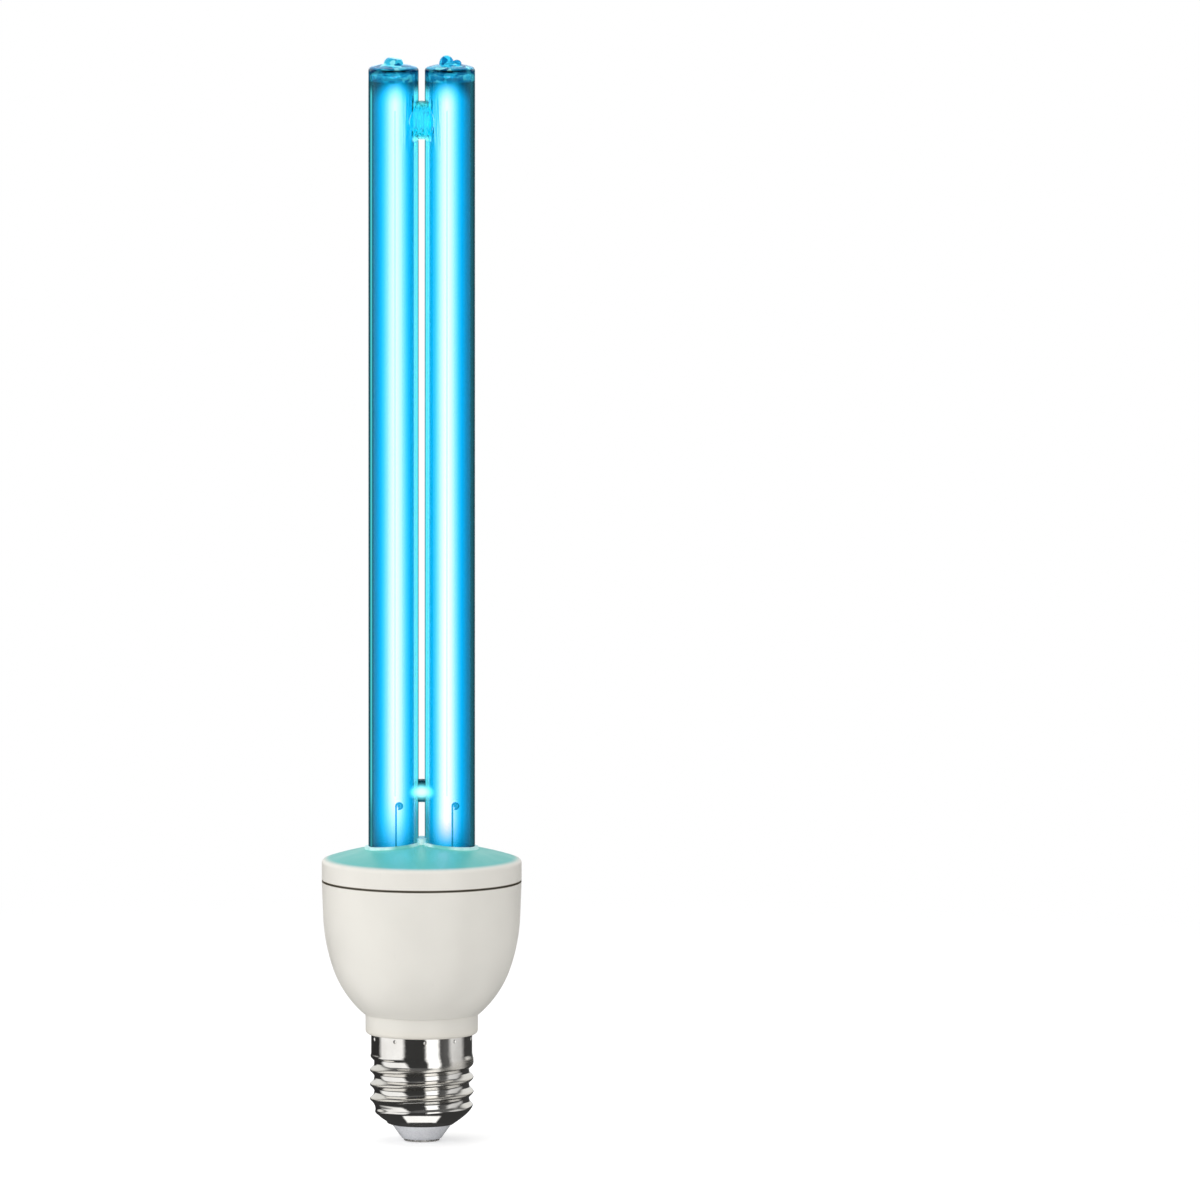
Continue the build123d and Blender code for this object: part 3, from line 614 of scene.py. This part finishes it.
def quartz_material():
    """Clear quartz, blue-green in depth, with draw lines and ripples where it was worked hot."""
    tree = new_tree("quartz")
    draw = tree.noise(1.0, 2.0, (1100.0, 1100.0, 9.0))
    ripple = tree.noise(1.0, 2.0, (900.0, 500.0, 70.0))
    knead = tree.noise(330.0)
    beside = tree.map_range(tree.math("ABSOLUTE", tree.x), leg_x * 0.95, leg_x * 0.3)
    away = tree.math("ABSOLUTE", tree.math("SUBTRACT", tree.z, bridge_z))
    joined = tree.product(beside, tree.map_range(away, 8.5 * MM, 4.0 * MM))
    end = tree.map_range(tree.z, top_z - 8.0 * MM, top_z - 3.0 * MM)
    ripples = tree.product(ripple, joined)
    kneads = tree.product(knead, end)
    normal = tree.bumps((draw, 0.05, 0.02), (ripples, 0.9, 0.5), (kneads, 0.6, 0.5))
    glass = {"IOR": 1.46, "Transmission_Weight": 1.0, "Specular_Tint": QUARTZ_SHEEN}
    # painted light: emission on the quartz where it would carry the discharge's light
    glow = {"Emission_Color": caught_light(tree), "Emission_Strength": 1.0}
    shader = tree.principled(WHITE, 0.0, normal, **glass, **glow)
    return tree.close(shader, tree.add("ShaderNodeVolumeAbsorption", QUARTZ_DEPTH))


# The discharge: its colour by the share of the bore's radius, and the outlines of its pieces

GLOW_PLACES = (0.0, 0.1, 0.2, 0.3, 0.4, 0.55, 0.7, 0.85, 1.0)
GLOW_RED = (7.50, 6.10, 4.65, 3.05, 1.50, 0.28, 0.0, 0.0, 0.0)
GLOW_GREEN = (1.12, 1.06, 0.98, 0.88, 0.74, 0.54, 0.37, 0.24, 0.12)
GLOW_BLUE = (1.42, 1.35, 1.25, 1.11, 0.96, 0.74, 0.54, 0.38, 0.20)
GLOW_PEAK = 7.5
GLOW_HAZE = {"Color": (0.032, 0.355, 0.516), "Density": 310.0}
GLOW_TOP = top_z - 5.0 * MM
GLOW_FOOT = dome_top_z - 3.9 * MM
GLOW_GAP = 0.06 * MM
GLOW_HOLLOW = 2.2 * MM
GLOW_CROWN = 3.0 * MM
FOOT_ROUND = 2.9 * MM
TOP_ROUND = 0.9 * MM
CORE_LEFT = -leg_x + 0.38 * MM
CORE_RIGHT = leg_x - 0.75 * MM
CORE_RADIUS = 0.25 * MM
CORE_ROUND = 0.2 * MM
CORE_ENDS = (dome_top_z + 12.0 * MM, GLOW_TOP - 9.0 * MM)
CORE_STRENGTH = 2.6
BRIDGE_GLOW_RADIUS = 3.8 * MM
BRIDGE_GLOW_HALF = 3.6 * MM
BRIDGE_GLOW_ROUND = 0.6 * MM
BEAD_GLOW_RADIUS = 1.1 * MM
BEAD_GLOW_HALF = 1.4 * MM
BEAD_GLOW_ROUND = 0.9 * MM


def discharge_material():
    """Glow along a leg: white at its core, blue by the wall, faded at both ends."""
    tree = new_tree("discharge")
    middle = tree.map_range(tree.x, -1.0 * MM, 1.0 * MM, CORE_LEFT, CORE_RIGHT, smooth=False)
    right = tree.map_range(tree.x, -1.0 * MM, 1.0 * MM)
    radius = tree.distance(tree.math("SUBTRACT", tree.x, middle), tree.y)
    share = tree.math("DIVIDE", radius, bore_radius)
    tones = [shade(tone, 1 / GLOW_PEAK) for tone in zip(GLOW_RED, GLOW_GREEN, GLOW_BLUE)]
    colour = tree.ramp(share, list(zip(GLOW_PLACES, tones)))
    red, green, blue = tree.add("ShaderNodeSeparateColor", {0: colour}).outputs

    height = tree.math("ADD", tree.z, tree.product(share, share, GLOW_CROWN))
    red_top = tree.map_range(height, top_z - 6.4 * MM, top_z - 12.5 * MM)
    blue_top = tree.map_range(height, top_z - 4.4 * MM, top_z - 9.6 * MM, 0.05, 1.0)
    left_foot = tree.map_range(tree.z, dome_top_z - 2.5 * MM, dome_top_z + 14.0 * MM)
    right_foot = tree.map_range(tree.z, dome_top_z - 1.0 * MM, dome_top_z + 7.0 * MM, 0.0, 1.12)
    more = tree.math("SUBTRACT", right_foot, left_foot)
    red_foot = tree.math("MULTIPLY_ADD", more, right, left_foot)
    blue_foot = tree.map_range(tree.z, dome_top_z - 8.0 * MM, dome_top_z + 9.0 * MM)
    fuller_ends = (top_z - 20.0 * MM, dome_top_z + 30.0 * MM)
    fuller = tree.map_range(tree.z, *fuller_ends, 0.84, 1.10, smooth=False)
    ends = tree.product(blue_top, blue_foot)
    channels = (
        tree.product(red, tree.product(red_top, red_foot), fuller),
        tree.product(green, ends),
        tree.product(blue, ends),
    )
    colour = tree.add("ShaderNodeCombineColor", dict(enumerate(channels))).outputs[0]
    glow = tree.add("ShaderNodeEmission", {"Color": colour, "Strength": GLOW_PEAK / MM})
    haze = tree.add("ShaderNodeVolumeAbsorption", GLOW_HAZE)
    tree.owner.cycles.volume_step_rate = 0.08
    return tree.close(volume=tree.join("ShaderNodeAddShader", glow, haze))


def even_glow_material(name, colour, strength):
    """Streaked glow, of so much strength per mm of depth, for the bridge and the bead."""
    tree = new_tree(name)
    streaks = tree.noise(1.0, 2.0, (1100.0, 110.0, 60.0))
    level = tree.map_range(streaks, 0.40, 0.58, 0.45 * strength / MM, 1.15 * strength / MM)
    tree.owner.cycles.volume_step_rate = 0.2
    return tree.close(volume=tree.add("ShaderNodeEmission", {"Color": colour, "Strength": level}))


def core_material():
    """The thin brightest line of the discharge, bluer at its upper end."""
    tree = new_tree("discharge_core")
    high = tree.map_range(tree.z, dome_top_z + 60.0 * MM, top_z - 14.0 * MM)
    inputs = {
        "Base Color": BLACK,
        "Roughness": 1.0,
        "Specular IOR Level": 0.0,
        "Emission Color": tree.mix(high, WHITE, (0.50, 0.96, 1.0)),
        "Emission Strength": CORE_STRENGTH,
    }
    return tree.close(tree.add("ShaderNodeBsdfPrincipled", inputs))


def turned(name, outline, centre, along="Z", segments=32):
    """Closed mesh made by turning (radius, height) points about an axis along Z or X."""
    mesh = bpy.data.meshes.new(name)
    shape = bmesh.new()
    rows = []
    for radius, height in outline:
        row = []
        for i in range(segments):
            turn = 2 * math.pi * i / segments
            a, b = radius * math.cos(turn), radius * math.sin(turn)
            offset = (a, b, height) if along == "Z" else (height, a, b)
            row.append(shape.verts.new(tuple(c + o for c, o in zip(centre, offset))))
        rows.append(row)
    for low, high in zip(rows, rows[1:]):
        for i in range(segments):
            j = (i + 1) % segments
            shape.faces.new((low[i], low[j], high[j], high[i]))
    shape.faces.new(tuple(reversed(rows[0])))
    shape.faces.new(tuple(rows[-1]))
    bmesh.ops.recalc_face_normals(shape, faces=shape.faces)
    for face in shape.faces:
        face.smooth = True
    shape.to_mesh(mesh)
    shape.free()
    piece = bpy.data.objects.new(name, mesh)
    scene.collection.objects.link(piece)
    return piece


def rounded_bar(radius, bottom, top, low_round, high_round, rings=6):
    """Outline of a bar whose two ends are rounded off."""
    turns = [math.pi / 2 * i / rings for i in range(rings + 1)]
    outline = []
    for turn in turns:
        step_in, rise = 1 - math.sin(turn), 1 - math.cos(turn)
        outline.append((radius - low_round * step_in, bottom + low_round * rise))
    for turn in turns:
        step_in, drop = 1 - math.cos(turn), 1 - math.sin(turn)
        outline.append((radius - high_round * step_in, top - high_round * drop))
    return outline


def add_piece(piece, material):
    piece.data.materials.append(material)
    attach(piece, "root")


def make_legs():
    """The glow in each leg, hollow at its upper end, with its core."""
    glow = discharge_material()
    core = core_material()
    radius = bore_radius - GLOW_GAP
    outline = rounded_bar(radius, GLOW_FOOT, GLOW_TOP, FOOT_ROUND, TOP_ROUND)
    for share in (0.75, 0.5, 0.25, 0.04):
        hollow = GLOW_HOLLOW * (1 - share**2)
        outline.append((share * (radius - TOP_ROUND), GLOW_TOP - hollow))
    line = rounded_bar(CORE_RADIUS, *CORE_ENDS, CORE_ROUND, CORE_ROUND, 3)
    for name, leg, middle in (("left", -leg_x, CORE_LEFT), ("right", leg_x, CORE_RIGHT)):
        add_piece(turned("discharge_" + name, outline, (leg, 0, 0)), glow)
        add_piece(turned("discharge_core_" + name, line, (middle, 0, 0), segments=16), core)


def make_joints():
    """The glow in the bridge, and a painted glow in the bead."""
    half, edge = BRIDGE_GLOW_HALF, BRIDGE_GLOW_ROUND
    outline = rounded_bar(BRIDGE_GLOW_RADIUS, -half, half, edge, edge, 3)
    glow = even_glow_material("discharge_bridge", (0.0, 0.60, 0.92), 0.09)
    add_piece(turned("discharge_bridge", outline, (0, 0, bridge_z), "X"), glow)
    # painted glow: the bead is solid glass with no discharge in it
    half, edge = BEAD_GLOW_HALF, BEAD_GLOW_ROUND
    outline = rounded_bar(BEAD_GLOW_RADIUS, -half, half, edge, edge, 5)
    glow = even_glow_material("bead_painted_glow", (0.85, 1.0, 1.0), 0.9)
    add_piece(turned("bead_painted_glow", outline, (0, 0, bead_z), "X"), glow)


# Inside the housing

# Name, its two tones, (scale, least and most roughness, bump), tone of its specks, CAD nodes
ROUGH_SURFACES = (
    (
        "filament_coating",
        ((0.90, 0.88, 0.84), (0.74, 0.70, 0.66)),
        (2500.0, 0.7, 0.95, 0.3),
        None,
        ("filament_left", "filament_right"),
    ),
    (
        "board",
        ((0.72, 0.60, 0.38), (0.64, 0.51, 0.30)),
        (260.0, 0.45, 0.6, 0.1),
        (0.55, 0.42, 0.24),
        ("circuit_board",),
    ),
    (
        "ferrite",
        ((0.10, 0.10, 0.11), (0.14, 0.14, 0.15)),
        (500.0, 0.5, 0.75, 0.3),
        (0.22, 0.22, 0.23),
        ("choke_core", "driver_toroid", "filter_inductor"),
    ),
    (
        "bobbin_plastic",
        ((0.08, 0.08, 0.08), (0.10, 0.10, 0.10)),
        (300.0, 0.4, 0.55, 0.1),
        None,
        ("choke_bobbin",),
    ),
    (
        "epoxy_black",
        ((0.05, 0.05, 0.05), (0.07, 0.07, 0.07)),
        (900.0, 0.5, 0.7, 0.2),
        (0.10, 0.10, 0.10),
        ("transistor_front", "transistor_back", "bridge_rectifier"),
    ),
    (
        "film_capacitor",
        ((0.50, 0.16, 0.08), (0.40, 0.12, 0.06)),
        (350.0, 0.18, 0.3, 0.25),
        None,
        ("resonant_capacitor", "blocking_capacitor"),
    ),
    (
        "resistor_lacquer",
        ((0.35, 0.50, 0.42), (0.30, 0.44, 0.37)),
        (400.0, 0.25, 0.4, 0.2),
        None,
        ("fusible_resistor",),
    ),
    (
        "thermistor_lacquer",
        ((0.12, 0.30, 0.20), (0.09, 0.24, 0.16)),
        (400.0, 0.25, 0.4, 0.25),
        None,
        ("thermistor",),
    ),
    (
        "wire_insulation",
        ((0.75, 0.75, 0.72), (0.68, 0.68, 0.64)),
        (500.0, 0.5, 0.65, 0.1),
        None,
        ("contact_wire", "shell_wire"),
    ),
)


def rough_material(name, tones, finish, specks):
    """Uneven surface of two tones, with specks where their tone is given."""
    scale, low, high, bump = finish
    tree = new_tree(name)
    lumps = tree.noise(scale, 5.0)
    grain = tree.noise(scale * 6, 2.0)
    tint = tree.mix(tree.map_range(lumps, 0.3, 0.7), *tones)
    if specks:
        tint = tree.mix(tree.map_range(grain, 0.62, 0.7), tint, specks)
    rough = tree.map_range(grain, 0.3, 0.7, low, high)
    normal = tree.bumps((lumps, bump, 0.1), (grain, bump, 0.03))
    return tree.close(tree.principled(tint, rough, normal, IOR=1.5))


def winding_material():
    """Enamelled copper wire laid turn by turn."""
    tree = new_tree("copper_winding")
    inputs = {"Vector": tree.coords, "Scale": 1300.0, "Distortion": 0.6}
    turns = tree.add("ShaderNodeTexWave", inputs, bands_direction="Z").outputs["Fac"]
    tone = tree.noise(400.0)
    tint = tree.mix(tone, (0.48, 0.20, 0.08), (0.70, 0.36, 0.17))
    rough = tree.map_range(tone, 0.3, 0.7, 0.25, 0.4)
    enamel = {"Metallic": 0.8, "Coat_Weight": 0.5, "Coat_Roughness": 0.2}
    return tree.close(tree.principled(tint, rough, tree.bumps((turns, 0.6, 0.15)), **enamel))


def sleeve_material():
    """Dark shrink sleeve with its pale polarity stripe and a bare rim."""
    tree = new_tree("capacitor_sleeve")
    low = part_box("electrolytic_capacitor")[0]
    tone = tree.noise(300.0)
    tint = tree.mix(tone, (0.035, 0.05, 0.075), (0.06, 0.08, 0.11))
    stripe = tree.map_range(tree.y, low.y + 0.9 * MM, low.y + 0.5 * MM)
    tint = tree.mix(stripe, tint, (0.62, 0.63, 0.64))
    bare = tree.map_range(tree.z, low.z + 0.7 * MM, low.z + 0.5 * MM)
    tint = tree.mix(bare, tint, (0.75, 0.75, 0.75))
    rough = tree.map_range(tone, 0.3, 0.7, 0.2, 0.35)
    normal = tree.bumps((tone, 0.1, 0.1))
    return tree.close(tree.principled(tint, rough, normal, IOR=1.5, Metallic=bare))


def dress_inside():
    lead = metal_material("lead_wire", (0.62, 0.62, 0.62), 0.2, 0.35, ALONG, 1500.0)
    dress(lead, "lead_left_front", "lead_left_back", "lead_right_front", "lead_right_back")
    dress(metal_material("post_metal", (0.76, 0.72, 0.60), 0.25, 0.4, ALONG), "wire_posts")
    for name, tones, finish, specks, parts in ROUGH_SURFACES:
        dress(rough_material(name, tones, finish, specks), *parts)
    dress(winding_material(), "choke_winding", "toroid_windings")
    dress(sleeve_material(), "electrolytic_capacitor")


# Build the scene

make_camera()
make_world()
make_floor()
make_area("key", (-1.3, -1.4, 0.9), (0, 0, 0.1), (1.3, 1.4), 13)
make_area("top", (-0.2, 0.3, 1.6), (0, 0, 0.1), (1.2, 1.2), 5)

dress(housing_material(), "ballast_housing")
dress(cover_material(), "top_cover")
dress(cement_material(), "tube_cement")
dress(shell_material(), "screw_shell")
dress(insulator_material(), "base_insulator")
dress(metal_material("contact_metal", (0.72, 0.71, 0.68), 0.2, 0.35), "centre_contact")
dress(quartz_material(), "quartz_tube")
dress_inside()
make_legs()
make_joints()

scene.view_settings.view_transform = "Standard"
